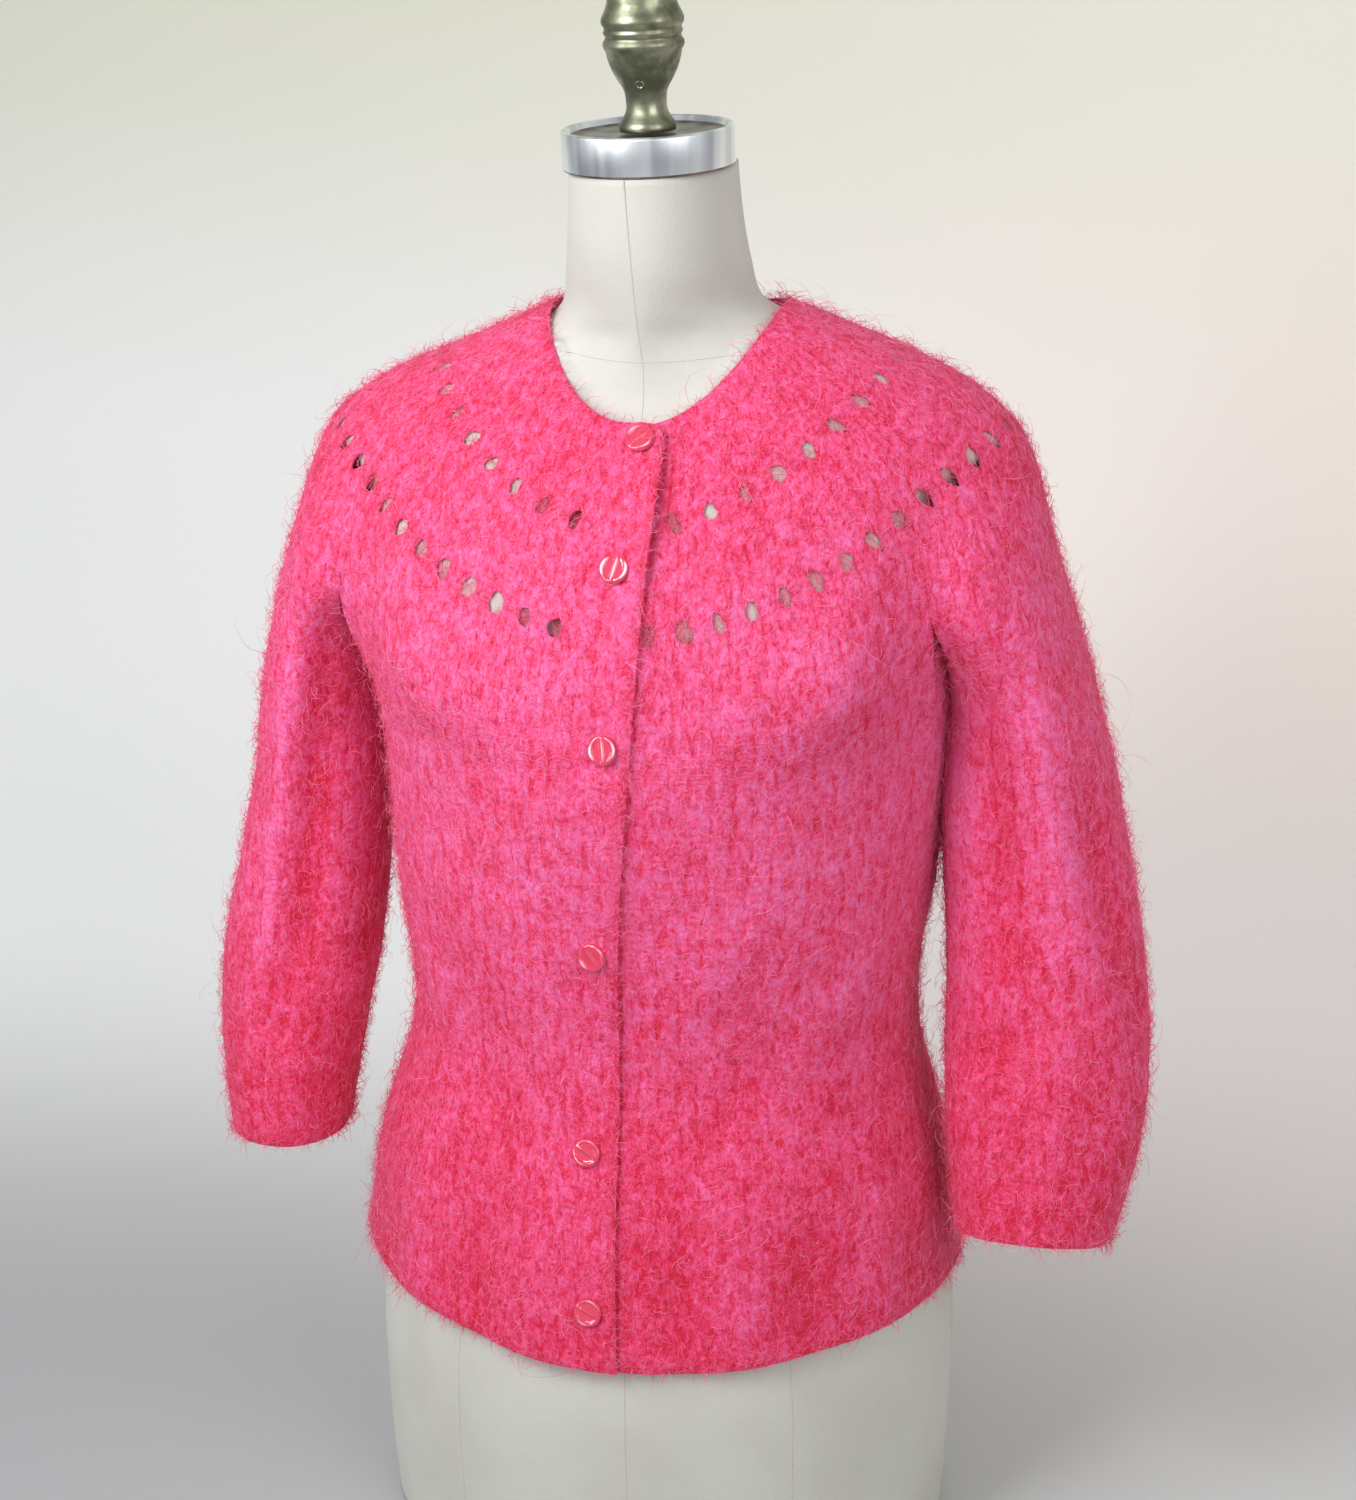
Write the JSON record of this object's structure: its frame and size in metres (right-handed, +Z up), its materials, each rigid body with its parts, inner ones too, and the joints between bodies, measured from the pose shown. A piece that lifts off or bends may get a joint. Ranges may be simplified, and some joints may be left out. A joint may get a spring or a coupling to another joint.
{
  "type": "mohair cardigan on a dress form",
  "caption": "Coral mohair cardigan with a round eyelet yoke and three-quarter sleeves, buttoned on a limbless canvas dress form.",
  "frame": {"origin": "on the flat underside of the dress form, at the form's upright axis", "axes": "+Z up along the form, -Y out of the buttoned front, +X towards the wearer's left"},
  "size_m": [0.5618, 0.2946, 0.9376],
  "materials": {
    "mohair": "brushed mohair knit, matte with a long soft fuzz",
    "button": "clear red, moulded and polished",
    "canvas": "cream linen canvas over a hard shell",
    "neck_metal": "brushed, lightly worn",
    "finial_metal": "darkened antique brass, worn at its rims"
  },
  "bodies": {
    "root": {"yoke": "mohair", "back": "mohair", "left_front": "mohair", "right_front": "mohair", "left_sleeve": "mohair", "right_sleeve": "mohair", "left_band": "mohair", "right_band": "mohair", "button_1": "button", "button_2": "button", "button_3": "button", "button_4": "button", "button_5": "button", "button_6": "button", "form_torso": "canvas", "form_neck_ring": "neck_metal", "form_finial": "finial_metal"}
  },
  "joints": []
}
